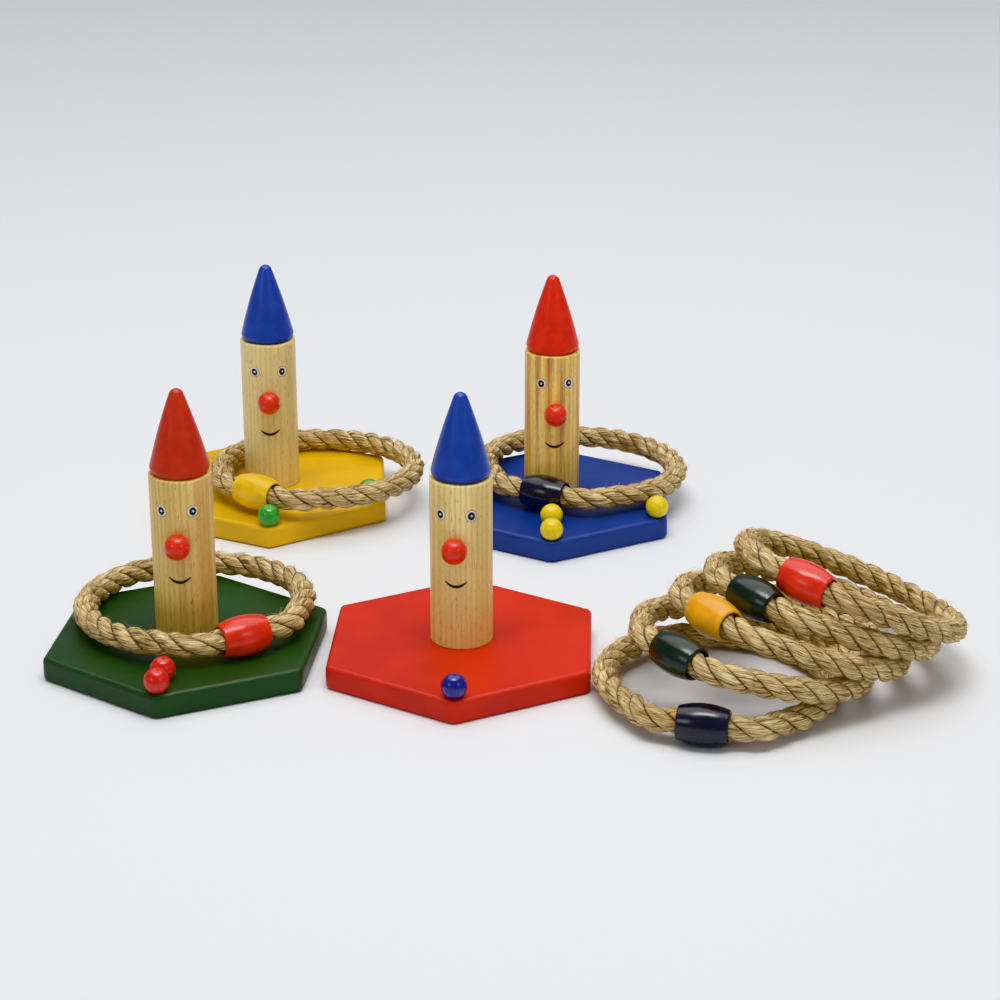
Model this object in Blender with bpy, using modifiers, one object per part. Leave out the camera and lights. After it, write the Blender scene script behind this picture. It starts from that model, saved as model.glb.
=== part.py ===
"""Ring toss set: four clown-faced peg stands and eight rope rings.

Each stand is a hexagonal board with a round peg screwed on from below, a pointed hat
dowelled to the peg's top, a ball nose and one to three ball knobs glued into the board.
Each ring is a length of rope bent round until its ends meet inside a barrel bead.
Three rings lie over pegs and five lie in a leaning pile beside the red stand.
The set's origin is on the ground, below the middle of its bounding box.
"""
import math

import bmesh
import bpy
from mathutils import Matrix, Vector

MM = 0.001
FIT = 0.3 * MM                     # gap kept between pieces that touch
PAST = 1.0 * MM                    # how far a cutter runs past the face it cuts
GLUE_ROOM = 0.5 * MM               # below a spigot in its hole

# Board of a stand
BASE_RADIUS = 72.0 * MM            # middle to corner of the hexagon
BASE_THICKNESS = 12.0 * MM
BASE_EASED_EDGE = 2.4 * MM

# Peg
PEG_RADIUS = 15.0 * MM
PEG_LENGTH = 83.0 * MM
PEG_TOP_RIM = 1.0 * MM             # chamfer round the end
PEG_FOOT_RIM = 0.5 * MM
PEG_BOTTOM = BASE_THICKNESS + FIT
PEG_TOP = PEG_BOTTOM + PEG_LENGTH

# Hat
HAT_RADIUS = 14.2 * MM
HAT_HEIGHT = 41.0 * MM
HAT_TIP_RADIUS = 3.6 * MM
HAT_HEM_RADIUS = 3.0 * MM          # rounding of the lower edge
HAT_SWELL = 0.5 * MM               # of the side halfway up
HAT_BOTTOM = PEG_TOP + FIT

# Dowel between peg and hat
DOWEL_RADIUS = 3.0 * MM
DOWEL_LENGTH = 22.0 * MM

# Nose, a ball with a flat back and a spigot
NOSE_RADIUS = 6.2 * MM
NOSE_HEIGHT = 51.5 * MM            # above the peg's foot
NOSE_PROUD = 2.9 * MM              # the ball's middle ahead of its flat back
NOSE_SPIGOT_RADIUS = 2.4 * MM
NOSE_SPIGOT_LENGTH = 7.0 * MM

# Knobs on the board, balls with a flat foot and a spigot
KNOB_RADIUS = 6.1 * MM
KNOB_LIFT = 4.9 * MM               # the ball's middle above its flat foot
KNOB_SPIGOT_RADIUS = 2.0 * MM
KNOB_SPIGOT_LENGTH = 6.5 * MM

# Countersunk wood screw up through the board into the peg
SCREW_RADIUS = 2.0 * MM
SCREW_HEAD_RADIUS = 4.0 * MM
SCREW_HEAD_HEIGHT = 2.6 * MM
SCREW_LENGTH = 34.0 * MM
SCREW_RECESS = 0.8 * MM            # head below the board's underside
SCREW_TIP = 4.0 * MM
DRIVE_DEPTH = 1.3 * MM             # socket for the driver in the screw's head
DRIVE_RADIUS = 1.5 * MM
DRIVE_FLOOR_RADIUS = 0.9 * MM

# Ring: rope and bead
ROPE_RADIUS = 6.0 * MM
RING_RADIUS = 53.0 * MM            # rope's centreline
BEAD_DISTANCE = 52.1 * MM          # ring's middle to the bead's axis
BEAD_LENGTH = 24.0 * MM
BEAD_RADIUS = 9.75 * MM
BEAD_END_RADIUS = 7.6 * MM
BEAD_BORE_RADIUS = 6.6 * MM
BEAD_LIP = 0.4 * MM                # chamfer round both ends of the bore
BEAD_SHOULDER = 0.925              # where the barrel meets its rounded end, as a part of its half length
ROPE_ENDS_GAP = 0.6 * MM           # between the two rope ends inside the bead
BEND_START = math.atan2(BEAD_LENGTH / 2 + PAST, BEAD_DISTANCE)     # straight through the bead
BEND_END = math.radians(42)        # from here on the rope follows the circle

ROUND_STEPS = 28                   # facets round a peg or a hat
SMALL_STEPS = 12                   # facets round a nose, knob, dowel or screw
BEAD_STEPS = 16                    # facets round a bead
ROPE_POINTS = 37                   # along the rope outside its bead
BALL_STEPS = 5                     # facets from the top of a ball to its flat
TIP_STEPS = 3                      # facets of a hat's round tip
HEM_STEPS = 4                      # facets of a hat's round hem
MERGE = 0.00001

WOOD = ((0.62, 0.42, 0.21), 0.55, 0.0)
ROPE = ((0.50, 0.36, 0.18), 0.95, 0.0)
STEEL = ((0.60, 0.58, 0.54), 0.35, 1.0)
RED = ((0.62, 0.035, 0.012), 0.35, 0.0)
BLUE = ((0.018, 0.055, 0.36), 0.35, 0.0)
GREEN = ((0.015, 0.10, 0.02), 0.4, 0.0)
LIGHT_GREEN = ((0.06, 0.40, 0.05), 0.3, 0.0)
YELLOW = ((0.72, 0.42, 0.01), 0.35, 0.0)
NAVY = ((0.012, 0.012, 0.035), 0.25, 0.0)
DARK_GREEN = ((0.006, 0.02, 0.008), 0.25, 0.0)

# Middle of the set's bounding box, seen from the red stand
SET_CENTRE = Vector((21.1, 90.0, 0.0)) * MM

# name: board colour, hat colour, knob colour, place (mm), board turn, face turn (degrees),
# and each knob's distance along the board (mm) and corner (0 faces the front, 1 the next one)
STANDS = {
    "red": (RED, BLUE, BLUE, (0, 0), -2.3, -10, [(65.5, 0)]),
    "green": (GREEN, RED, RED, (-132.7, 5.4), -5.9, -2, [(65.5, 0), (53.0, 0)]),
    "yellow": (YELLOW, BLUE, LIGHT_GREEN, (-108.5, 209.0), 3.2, 4, [(65.5, 0), (62.0, 1)]),
    "blue": (BLUE, RED, YELLOW, (46.7, 189.6), -1.0, 5, [(65.5, 0), (45.5, 0), (65.5, 1)]),
}

# name: bead colour, middle of the ring (mm), lean to the right, lean to the back and the bead's
# bearing (degrees)
RINGS = {
    "green_peg_ring": (RED, (-130.8, 23.7, 19.9), -0.9, -2.0, -58),
    "yellow_peg_ring": (YELLOW, (-82.7, 205.3, 20.7), 0.5, -2.7, -125),
    "blue_peg_ring": (NAVY, (63.7, 211.7, 19.5), 1.9, -2.0, -114),
    "pile_ring_1": (NAVY, (120.5, -39.0, 8.2), 1.5, -1.6, -102),
    "pile_ring_2": (DARK_GREEN, (136.7, -30.9, 20.6), 12.3, -6.6, -138),
    "pile_ring_3": (YELLOW, (155.5, -20.4, 27.4), 17.6, -9.3, -145),
    "pile_ring_4": (DARK_GREEN, (171.4, -10.1, 33.4), 18.4, -9.8, -139),
    "pile_ring_5": (RED, (185.3, -4.2, 41.1), 21.3, -10.8, -127),
}


def clear_scene():
    for item in list(bpy.data.objects):
        bpy.data.objects.remove(item, do_unlink=True)
    for group in list(bpy.data.collections):
        bpy.data.collections.remove(group)


def new_collection(name):
    group = bpy.data.collections.new(name)
    bpy.context.scene.collection.children.link(group)
    return group


def make_material(name, look):
    colour, roughness, metallic = look
    material = bpy.data.materials.get(name)
    if material is None:
        material = bpy.data.materials.new(name)
        material.use_nodes = True
        shader = material.node_tree.nodes["Principled BSDF"]
        shader.inputs["Base Color"].default_value = (*colour, 1.0)
        shader.inputs["Roughness"].default_value = roughness
        shader.inputs["Metallic"].default_value = metallic
    return material


def add_object(group, name, data, place, look=None):
    """Link an object with its own material; cutters have no look and stay hidden."""
    item = bpy.data.objects.new(name, data)
    group.objects.link(item)
    item.matrix_world = place
    if look is None:
        item.hide_render = True
        item.display_type = "WIRE"
    else:
        data.materials.append(make_material(name, look))
    return item


def arc(middle, radius, start, end, steps):
    """Points of an arc in the profile's plane, from start to end degrees."""
    return [(middle[0] + radius * math.cos(math.radians(start + (end - start) * i / steps)),
             middle[1] + radius * math.sin(math.radians(start + (end - start) * i / steps)))
            for i in range(steps + 1)]


def turned(group, name, profile, place, look=None, steps=SMALL_STEPS, closed=False):
    """Turn a profile of (radius, height) points, listed from top to bottom, about Z."""
    mesh = bpy.data.meshes.new(name)
    edges = [(i, i + 1) for i in range(len(profile) - 1)]
    if closed:
        edges.append((len(profile) - 1, 0))
    mesh.from_pydata([(x, 0.0, z) for x, z in profile], edges, [])
    item = add_object(group, name, mesh, place, look)
    screw = item.modifiers.new("Turn", "SCREW")
    screw.axis = "Z"
    screw.steps = steps
    screw.render_steps = screw.steps
    screw.use_merge_vertices = True
    screw.merge_threshold = MERGE
    screw.use_smooth_shade = True
    return item


def cut(item, cutter):
    """Take a cutter's shape out of an object."""
    boolean = item.modifiers.new("Cut " + cutter.name, "BOOLEAN")
    boolean.operation = "DIFFERENCE"
    boolean.solver = "EXACT"
    boolean.object = cutter


def round_bar(radius, bottom, top):
    """Profile of a plain round bar."""
    return [(0.0, top), (radius, top), (radius, bottom), (0.0, bottom)]


def ball_profile(radius, middle, spigot_radius, spigot_length):
    """Profile of a ball cut flat at height 0, on a spigot that reaches down from there."""
    low = -math.degrees(math.asin(middle / radius))
    ball = arc((0.0, middle), radius, 90, low, BALL_STEPS)
    ball[0] = (0.0, middle + radius)
    return ball + [(spigot_radius, 0.0), (spigot_radius, -spigot_length), (0.0, -spigot_length)]


def hat_profile():
    """A slightly swelling cone whose side runs tangent to its round tip and its round hem."""
    hem = Vector((HAT_RADIUS - HAT_HEM_RADIUS, HAT_HEM_RADIUS))
    tip = Vector((0.0, HAT_HEIGHT - HAT_TIP_RADIUS))
    run = tip - hem
    side = math.atan2(-run.x, run.y) + math.asin((HAT_HEM_RADIUS - HAT_TIP_RADIUS) / run.length)
    outward = Vector((math.cos(side), math.sin(side)))
    middle = (tip + hem + outward * (HAT_TIP_RADIUS + HAT_HEM_RADIUS)) / 2 + outward * HAT_SWELL
    points = arc(tip, HAT_TIP_RADIUS, 90, math.degrees(side), TIP_STEPS)
    points[0] = (0.0, HAT_HEIGHT)
    points.append((middle.x, middle.y))
    points += arc(hem, HAT_HEM_RADIUS, math.degrees(side), -90, HEM_STEPS)
    points.append((0.0, 0.0))
    return points


def screw_profile():
    """A countersunk wood screw, point up, its head at the bottom with a round drive socket."""
    top = SCREW_LENGTH
    return [(0.0, top), (SCREW_RADIUS, top - SCREW_TIP), (SCREW_RADIUS, SCREW_HEAD_HEIGHT),
            (SCREW_HEAD_RADIUS, 0.0), (DRIVE_RADIUS, 0.0), (DRIVE_FLOOR_RADIUS, DRIVE_DEPTH),
            (0.0, DRIVE_DEPTH)]


def screw_hole_profile(top):
    """Clearance for the screw, countersunk, from below the board up to `top`."""
    shank = SCREW_RADIUS + FIT
    head = SCREW_HEAD_RADIUS + 2 * FIT
    seat = SCREW_RECESS + SCREW_HEAD_HEIGHT + FIT
    return [(0.0, top), (shank, top), (shank, seat), (head, SCREW_RECESS - FIT),
            (head, -PAST), (0.0, -PAST)]


def bead_profile():
    """A barrel with a round bore and slightly rounded ends."""
    half = BEAD_LENGTH / 2
    swell = BEAD_RADIUS - BEAD_END_RADIUS
    barrel = [(BEAD_END_RADIUS + swell * (1 - part ** 2), half * part)
              for part in (BEAD_SHOULDER, 0.75, 0.375, 0, -0.375, -0.75, -BEAD_SHOULDER)]
    lip = BEAD_BORE_RADIUS + BEAD_LIP
    top_end = [(BEAD_BORE_RADIUS, half - BEAD_LIP), (lip, half)]
    bottom_end = [(lip, -half), (BEAD_BORE_RADIUS, BEAD_LIP - half)]
    return top_end + barrel + bottom_end


def ring_reach(bearing):
    """Distance of the rope's centreline from the ring's middle, at a bearing from the bead."""
    turn = abs((bearing + math.pi) % math.tau - math.pi)
    if turn <= BEND_START:
        return BEAD_DISTANCE / math.cos(turn)
    if turn >= BEND_END:
        return RING_RADIUS
    ease = (turn - BEND_START) / (BEND_END - BEND_START)
    ease = ease * ease * (3 - 2 * ease)
    return (1 - ease) * BEAD_DISTANCE / math.cos(turn) + ease * RING_RADIUS


def rope_route():
    """Centreline of the rope from one end inside the bead round to the other; the bead is at +X."""
    start = math.atan2(ROPE_ENDS_GAP / 2, BEAD_DISTANCE)
    first = math.atan2(BEAD_LENGTH / 2, BEAD_DISTANCE)
    loop = [first + (math.tau - 2 * first) * i / (ROPE_POINTS - 1) for i in range(ROPE_POINTS)]
    bearings = [start] + loop + [math.tau - start]
    return [Vector((ring_reach(b) * math.cos(b), ring_reach(b) * math.sin(b), 0.0)) for b in bearings]


def build_base(parts, cutters, name, place, look, knobs):
    """A hexagonal board with corners to the front and back, its screw hole and its knobs' sockets."""
    board = bmesh.new()
    bmesh.ops.create_cone(board, cap_ends=True, segments=6, radius1=BASE_RADIUS, radius2=BASE_RADIUS,
                          depth=BASE_THICKNESS, matrix=Matrix.Translation((0, 0, BASE_THICKNESS / 2)))
    mesh = bpy.data.meshes.new(name)
    board.to_mesh(mesh)
    board.free()
    base = add_object(parts, name, mesh, place, look)
    eased = base.modifiers.new("Eased edges", "BEVEL")
    eased.width = BASE_EASED_EDGE
    eased.segments = 2
    eased.limit_method = "ANGLE"
    cut(base, turned(cutters, name + "_screw_hole", screw_hole_profile(BASE_THICKNESS + PAST), place))
    for number, (x, y) in enumerate(knobs, 1):
        seat = place @ Matrix.Translation((x, y, BASE_THICKNESS))
        socket = round_bar(KNOB_SPIGOT_RADIUS + FIT, -KNOB_SPIGOT_LENGTH - GLUE_ROOM, PAST)
        cut(base, turned(cutters, f"{name}_socket_{number}", socket, seat))
    return base


def build_peg(parts, cutters, name, place, nose_place):
    """A dowel with holes for the screw below, the hat's dowel above and the nose in front."""
    profile = [(0.0, PEG_TOP), (PEG_RADIUS - PEG_TOP_RIM, PEG_TOP), (PEG_RADIUS, PEG_TOP - PEG_TOP_RIM),
               (PEG_RADIUS, PEG_BOTTOM + PEG_FOOT_RIM), (PEG_RADIUS - PEG_FOOT_RIM, PEG_BOTTOM),
               (0.0, PEG_BOTTOM)]
    peg = turned(parts, name, profile, place, WOOD, ROUND_STEPS)
    pilot_hole = round_bar(SCREW_RADIUS + FIT, PEG_BOTTOM - PAST, SCREW_RECESS + SCREW_LENGTH + FIT)
    cut(peg, turned(cutters, name + "_pilot_hole", pilot_hole, place))
    dowel_hole = round_bar(DOWEL_RADIUS + FIT, PEG_TOP - DOWEL_LENGTH / 2 - FIT, PEG_TOP + PAST)
    cut(peg, turned(cutters, name + "_dowel_hole", dowel_hole, place))
    nose_hole = round_bar(NOSE_SPIGOT_RADIUS + FIT, -NOSE_SPIGOT_LENGTH - FIT, PAST)
    cut(peg, turned(cutters, name + "_nose_hole", nose_hole, nose_place))
    return peg


def keep_on(parent, pieces, place):
    """Parent pieces to an empty without moving them."""
    for piece in pieces:
        keep = piece.matrix_world.copy()
        piece.parent = parent
        piece.matrix_parent_inverse = place.inverted()
        piece.matrix_world = keep


def build_hat(parts, cutters, name, place, look):
    hat = turned(parts, name, hat_profile(), place, look, ROUND_STEPS)
    dowel_hole = round_bar(DOWEL_RADIUS + FIT, -PAST, DOWEL_LENGTH / 2 + FIT)
    cut(hat, turned(cutters, name + "_hole", dowel_hole, place))
    return hat


def build_stand(parts, cutters, name, look):
    board_look, hat_look, knob_look, spot, board_turn, face_turn, knob_spots = look
    stand = bpy.data.objects.new(name + "_stand", None)
    parts.objects.link(stand)
    middle = Vector((spot[0] * MM, spot[1] * MM, 0.0)) - SET_CENTRE
    upright = Matrix.Translation(middle)
    stand.matrix_world = upright
    board_place = upright @ Matrix.Rotation(math.radians(board_turn), 4, "Z")
    peg_place = upright @ Matrix.Rotation(math.radians(face_turn), 4, "Z")
    nose_place = (peg_place @ Matrix.Translation((0, -PEG_RADIUS - FIT, PEG_BOTTOM + NOSE_HEIGHT))
                  @ Matrix.Rotation(math.radians(90), 4, "X"))

    knobs = []
    for reach, corner in knob_spots:
        bearing = math.radians(-90 + 60 * corner)
        knobs.append((reach * MM * math.cos(bearing), reach * MM * math.sin(bearing)))
    pieces = [build_base(parts, cutters, name + "_base", board_place, board_look, knobs)]
    pieces.append(build_peg(parts, cutters, name + "_peg", peg_place, nose_place))

    pieces.append(build_hat(parts, cutters, name + "_hat",
                            peg_place @ Matrix.Translation((0, 0, HAT_BOTTOM)), hat_look))
    pieces.append(turned(parts, name + "_hat_dowel",
                         round_bar(DOWEL_RADIUS, -DOWEL_LENGTH / 2, DOWEL_LENGTH / 2),
                         peg_place @ Matrix.Translation((0, 0, (PEG_TOP + HAT_BOTTOM) / 2)), WOOD))
    pieces.append(turned(parts, name + "_nose",
                         ball_profile(NOSE_RADIUS, NOSE_PROUD, NOSE_SPIGOT_RADIUS, NOSE_SPIGOT_LENGTH),
                         nose_place, RED))
    pieces.append(turned(parts, name + "_base_screw", screw_profile(),
                         board_place @ Matrix.Translation((0, 0, SCREW_RECESS)), STEEL))
    for number, (x, y) in enumerate(knobs, 1):
        seat = board_place @ Matrix.Translation((x, y, BASE_THICKNESS + FIT))
        pieces.append(turned(parts, f"{name}_knob_{number}",
                             ball_profile(KNOB_RADIUS, KNOB_LIFT, KNOB_SPIGOT_RADIUS, KNOB_SPIGOT_LENGTH),
                             seat, knob_look))
    keep_on(stand, pieces, upright)


def build_ring(parts, name, look):
    bead_look, spot, lean_right, lean_back, bearing = look
    middle = Vector(spot) * MM - SET_CENTRE
    place = (Matrix.Translation(middle) @ Matrix.Rotation(math.radians(lean_right), 4, "Y")
             @ Matrix.Rotation(math.radians(lean_back), 4, "X")
             @ Matrix.Rotation(math.radians(bearing), 4, "Z"))
    ring = bpy.data.objects.new(name, None)
    parts.objects.link(ring)
    ring.matrix_world = place

    curve = bpy.data.curves.new(name + "_rope", "CURVE")
    curve.dimensions = "3D"
    curve.bevel_depth = ROPE_RADIUS
    curve.bevel_resolution = 2
    curve.use_fill_caps = True
    route = rope_route()
    spline = curve.splines.new("POLY")
    spline.points.add(len(route) - 1)
    for point, spot_on_route in zip(spline.points, route):
        point.co = (*spot_on_route, 1.0)
    rope = add_object(parts, name + "_rope", curve, place, ROPE)
    bead_place = (place @ Matrix.Translation((BEAD_DISTANCE, 0, 0))
                  @ Matrix.Rotation(math.radians(90), 4, "X"))
    bead = turned(parts, name + "_bead", bead_profile(), bead_place, bead_look, BEAD_STEPS, closed=True)
    keep_on(ring, (rope, bead), place)


def main():
    clear_scene()
    parts = new_collection("ring_toss_set")
    cutters = new_collection("cutters")
    for name, look in STANDS.items():
        build_stand(parts, cutters, name, look)
    for name, look in RINGS.items():
        build_ring(parts, name, look)


main()
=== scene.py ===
"""Looks of the ring toss set: turned and lacquered wood, painted clown faces and twisted sisal rope."""
import math

import bmesh
import bpy
import numpy as np
from mathutils import Matrix, Vector, noise


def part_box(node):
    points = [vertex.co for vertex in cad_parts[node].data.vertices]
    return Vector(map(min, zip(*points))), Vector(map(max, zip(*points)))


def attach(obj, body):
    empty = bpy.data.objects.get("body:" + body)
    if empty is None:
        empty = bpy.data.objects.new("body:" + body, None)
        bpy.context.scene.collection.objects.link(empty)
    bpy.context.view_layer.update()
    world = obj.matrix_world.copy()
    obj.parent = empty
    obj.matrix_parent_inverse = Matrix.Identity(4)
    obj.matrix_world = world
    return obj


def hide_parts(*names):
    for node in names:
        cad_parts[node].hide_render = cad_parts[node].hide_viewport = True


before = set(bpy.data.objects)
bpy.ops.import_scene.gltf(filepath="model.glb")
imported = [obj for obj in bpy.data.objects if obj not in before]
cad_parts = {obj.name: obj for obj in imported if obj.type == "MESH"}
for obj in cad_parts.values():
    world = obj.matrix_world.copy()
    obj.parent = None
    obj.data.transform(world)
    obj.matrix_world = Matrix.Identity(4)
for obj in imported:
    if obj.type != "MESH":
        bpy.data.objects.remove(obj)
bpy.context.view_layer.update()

MM = 0.001
TOUCH = 0.02 * MM                  # pieces that are glued together stop this far apart

# Camera
CAMERA_PLACE = (-0.0027, -1.2069, 0.525)
LOOKS_DOWN = math.radians(21.6)
LENS_MM = 91.7
SENSOR_WIDTH_MM = 36

# Stand, as the CAD has it
BOARD_RADIUS = 72.0 * MM
BOARD_THICKNESS = 12.0 * MM
BOARD_EASED_EDGE = 2.4 * MM
BOARD_UNEVEN = 0.0012              # share of the radius by which sanding leaves it uneven
PEG_RADIUS = 15.0 * MM
PEG_BOTTOM = BOARD_THICKNESS + TOUCH
PEG_TOP = 95.3 * MM
PEG_RIM = 1.0 * MM
PEG_STEPS, PEG_UNEVEN = 96, 0.003
HAT_RADIUS = 14.2 * MM
HAT_HEIGHT = 41.3 * MM
HAT_TIP_RADIUS = 3.6 * MM
HAT_HEM_RADIUS = 3.0 * MM
HAT_SWELL = 0.5 * MM
HAT_STEPS, HAT_UNEVEN = 80, 0.006
NOSE_RADIUS = 6.2 * MM
NOSE_HEIGHT = 63.8 * MM
NOSE_AHEAD = 18.2 * MM             # the ball's middle ahead of the peg's axis
NOSE_SUNK = 1.4 * MM               # its flat foot below the peg's surface
KNOB_RADIUS = 6.1 * MM
KNOB_HEIGHT = 17.2 * MM            # the ball's middle
BALL_STEPS, BALL_UNEVEN = 48, 0.01
SCREW_RECESS = 0.8 * MM
SCREW_HEAD_RADIUS = 4.0 * MM
SCREW_HEAD_HEIGHT = 2.6 * MM
SCREW_HOLE_RADIUS = 2.3 * MM
SCREW_HOLE_DEPTH = 6 * MM
SCREW_HEAD_ROOM = (0.6 * MM, 0.3 * MM)      # round the countersunk head, and above and below it

# Face, in millimetres on the peg's surface: across from the nose, and up from the ground
EYE_SPREAD = 7.75
EYE_LEVEL = 80.2
EYE_OUTLINE = 0.18
EYE_WHITE = 2.75
EYE_PUPIL = (1.8, 2.05)
EYE_PUPIL_TILT = 0.12              # radians
EYE_GLINT = 0.6
EYE_GLINT_OFF = (0.15, 0.1)        # from the pupil's middle
EYE_LIFTS = (0.05, 0.11, 0.17, 0.22)        # off the wood: outline, white, pupil and glint
MOUTH_LEVEL = 47.0
MOUTH_HALF_WIDTH = 5.3
MOUTH_SAG = 2.5
MOUTH_STROKE = 0.74                # half the stroke's width in the middle
MOUTH_LIFT = 0.12
PAINT_BACK = -0.08                 # every brush mark's back lies this far inside the wood
WHITE, BLACK = 0, 1                # the face's two paints, in their order on the face's mesh

# Ring, as the CAD has it
ROPE_DIAMETER = 12.0 * MM
RING_RADIUS = 53.0 * MM
BEAD_DISTANCE = 52.1 * MM
BEAD_LENGTH = 24.0 * MM
BEAD_RADIUS = 9.75 * MM
BEAD_END_RADIUS = 7.6 * MM
BEAD_BORE_RADIUS = 6.6 * MM
BEAD_LIP = 0.4 * MM
BEAD_ROUNDING = 1.1 * MM
BEAD_STEPS, BEAD_UNEVEN = 64, 0.008
ROPE_ENDS_GAP = 0.6 * MM
BEND_START = math.atan2(BEAD_LENGTH / 2 + 1.0 * MM, BEAD_DISTANCE)
BEND_END = math.radians(42)
SET_CENTRE = Vector((21.1, 90.0, 0.0)) * MM

# Rope's make-up
ROPE_STATIONS = 320
STRANDS = 3
STRAND_CELLS = 26
STRAND_OFFSET = 2.1 * MM           # rope's middle to the middle of a strand's round back
STRAND_RADIUS = 3.9 * MM
GROOVE_START = math.radians(46)    # from a strand's crest
GROOVE_NOTCH = 0.6 * MM
ROPE_LAY = 33.0 * MM               # length in which a strand goes once round
FIBRE_RADIUS = 5.2 * MM
FIBRE_SLANT = 0.94                 # fibres twist back over the strand, so they run along the rope
YARN_RELIEF = 0.34 * MM
YARN_SIZE = (1.3 * MM, 20 * MM)    # across and along
FIBRE_RELIEF = 0.16 * MM
FIBRE_SIZE = (0.55 * MM, 9 * MM)
GREATEST_REACH = ROPE_DIAMETER / 2 + 0.4 * MM
LAY_WANDER = (90 * MM, 0.10)       # length along the rope of one wander, and radians
CREST_WANDER = (60 * MM, 0.05)
SIZE_WANDER = (45 * MM, 0.25 * MM)  # and the reach that it adds or takes
LYING_HAIRS = 320
LYING_HAIR_RADIUS = 0.12 * MM
LYING_HAIR_LENGTHS = (4, 11)       # millimetres, shortest and longest
LYING_HAIR_LIFTS = (0.05, 0.25)    # millimetres off the strand, in the middle of the hair
LYING_HAIR_DIP = 0.4 * MM          # how far its ends go down into the strand
LOOSE_HAIRS = 320
LOOSE_HAIR_RADIUS = 0.10 * MM
LOOSE_HAIR_LENGTHS = (3, 10)       # millimetres along the rope
LOOSE_HAIR_RISE = 3.2 * MM
HAIR_TAPER = 0.6
LOWEST_HAIR = -0.2                 # a loose hair may point no further down; -1 is straight down

# Studio: each light's place and size in metres, and its power in watts
LIGHTS = {
    "ceiling": ((0.0, 0.75, 2.10), (3.2, 2.2), 32),
    "key": ((0.0, -0.30, 1.25), (0.8, 0.25), 7),
    "left": ((-1.25, -1.25, 0.95), (0.6, 0.6), 2.5),
    "right": ((1.25, -1.20, 1.00), (0.6, 0.6), 2.0),
}
FLOOR_SIZE = 24
FLOOR_SHADES = ((0.80, 0.81, 0.83), (0.84, 0.85, 0.86))
SKY_COLOUR = (0.93, 0.95, 1.0, 1.0)
SKY_STRENGTH = 0.36

# stand: board paint, hat paint, knob paint, board's turn and face's turn (degrees)
STANDS = {
    "red": ("red_board", "blue_hat", "blue_knob", -2.3, -10),
    "green": ("green_board", "red_hat", "red_knob", -5.9, -2),
    "yellow": ("yellow_board", "blue_hat", "green_knob", 3.2, 4),
    "blue": ("blue_board", "scarlet_hat", "yellow_knob", -1.0, 5),
}

# ring: bead paint, middle of the ring (mm), lean to the right, lean to the back and the bead's
# bearing (degrees)
RINGS = {
    "green_peg_ring": ("red_bead", (-130.8, 23.7, 19.9), -0.9, -2.0, -58),
    "yellow_peg_ring": ("yellow_bead", (-82.7, 205.3, 20.7), 0.5, -2.7, -125),
    "blue_peg_ring": ("navy_bead", (63.7, 211.7, 19.5), 1.9, -2.0, -114),
    "pile_ring_1": ("navy_bead", (120.5, -39.0, 8.2), 1.5, -1.6, -102),
    "pile_ring_2": ("dark_green_bead", (136.7, -30.9, 20.6), 12.3, -6.6, -138),
    "pile_ring_3": ("amber_bead", (155.5, -20.4, 27.4), 17.6, -9.3, -145),
    "pile_ring_4": ("dark_green_bead", (171.4, -10.1, 33.4), 18.4, -9.8, -139),
    "pile_ring_5": ("red_bead", (185.3, -4.2, 41.1), 21.3, -10.8, -127),
}


def srgb(*values):
    """A screen colour, 0 to 255, as the linear colour that shaders take."""
    return tuple((v / 255 / 12.92 if v < 11 else ((v / 255 + 0.055) / 1.055) ** 2.4) for v in values)


# paint: material slot, colour, roughness and weight of the clear coat
PAINTS = {
    "red_board": ("red_paint", srgb(205, 40, 12), 0.42, 0.10),
    "green_board": ("green_paint", srgb(36, 71, 30), 0.42, 0.10),
    "yellow_board": ("yellow_paint", srgb(222, 174, 16), 0.42, 0.10),
    "blue_board": ("blue_paint", srgb(34, 63, 141), 0.42, 0.10),
    "blue_hat": ("blue_paint", srgb(42, 71, 163), 0.36, 0.25),
    "red_hat": ("red_paint", srgb(196, 52, 26), 0.40, 0.20),
    "scarlet_hat": ("red_paint", srgb(222, 46, 20), 0.38, 0.20),
    "nose": ("red_paint", srgb(222, 52, 26), 0.28, 0.45),
    "blue_knob": ("blue_paint", srgb(38, 40, 132), 0.22, 0.6),
    "red_knob": ("red_paint", srgb(206, 38, 24), 0.24, 0.55),
    "green_knob": ("light_green_paint", srgb(62, 158, 56), 0.22, 0.6),
    "yellow_knob": ("yellow_paint", srgb(232, 206, 24), 0.26, 0.5),
    "red_bead": ("red_paint", srgb(222, 48, 22), 0.27, 0.5),
    "yellow_bead": ("yellow_paint", srgb(236, 190, 22), 0.30, 0.4),
    "amber_bead": ("yellow_paint", srgb(238, 168, 22), 0.30, 0.4),
    "navy_bead": ("navy_paint", srgb(26, 27, 44), 0.24, 0.6),
    "dark_green_bead": ("dark_green_paint", srgb(20, 38, 24), 0.28, 0.5),
}

# stand: light wood, dark wood, streak, how strong the rings and the streaks are, and where the
# dowel lay in the tree (mm)
WOODS = {
    "red": (srgb(248, 226, 154), srgb(218, 184, 108), srgb(202, 158, 88), 0.55, 0.15, (46, 21, 5)),
    "green": (srgb(236, 204, 124), srgb(200, 161, 88), srgb(170, 130, 68), 0.60, 0.25, (-38, 30, 40)),
    "yellow": (srgb(238, 218, 152), srgb(209, 182, 118), srgb(190, 158, 100), 0.40, 0.10, (52, -24, 90)),
    "blue": (srgb(250, 218, 132), srgb(224, 168, 84), srgb(170, 100, 44), 0.70, 0.75, (-30, -34, 60)),
}

SISAL = {
    "hair": srgb(252, 222, 160),
    "between_hairs": srgb(104, 74, 34),
    "pale_yarn": srgb(255, 240, 192),
    "dark_yarn": srgb(84, 58, 26),
    "weathered": srgb(156, 112, 58),
    # painted shade in the grooves between strands, also a darker tone for some hairs
    "painted_shade_and_hair_tone": srgb(62, 42, 22),
}


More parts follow.
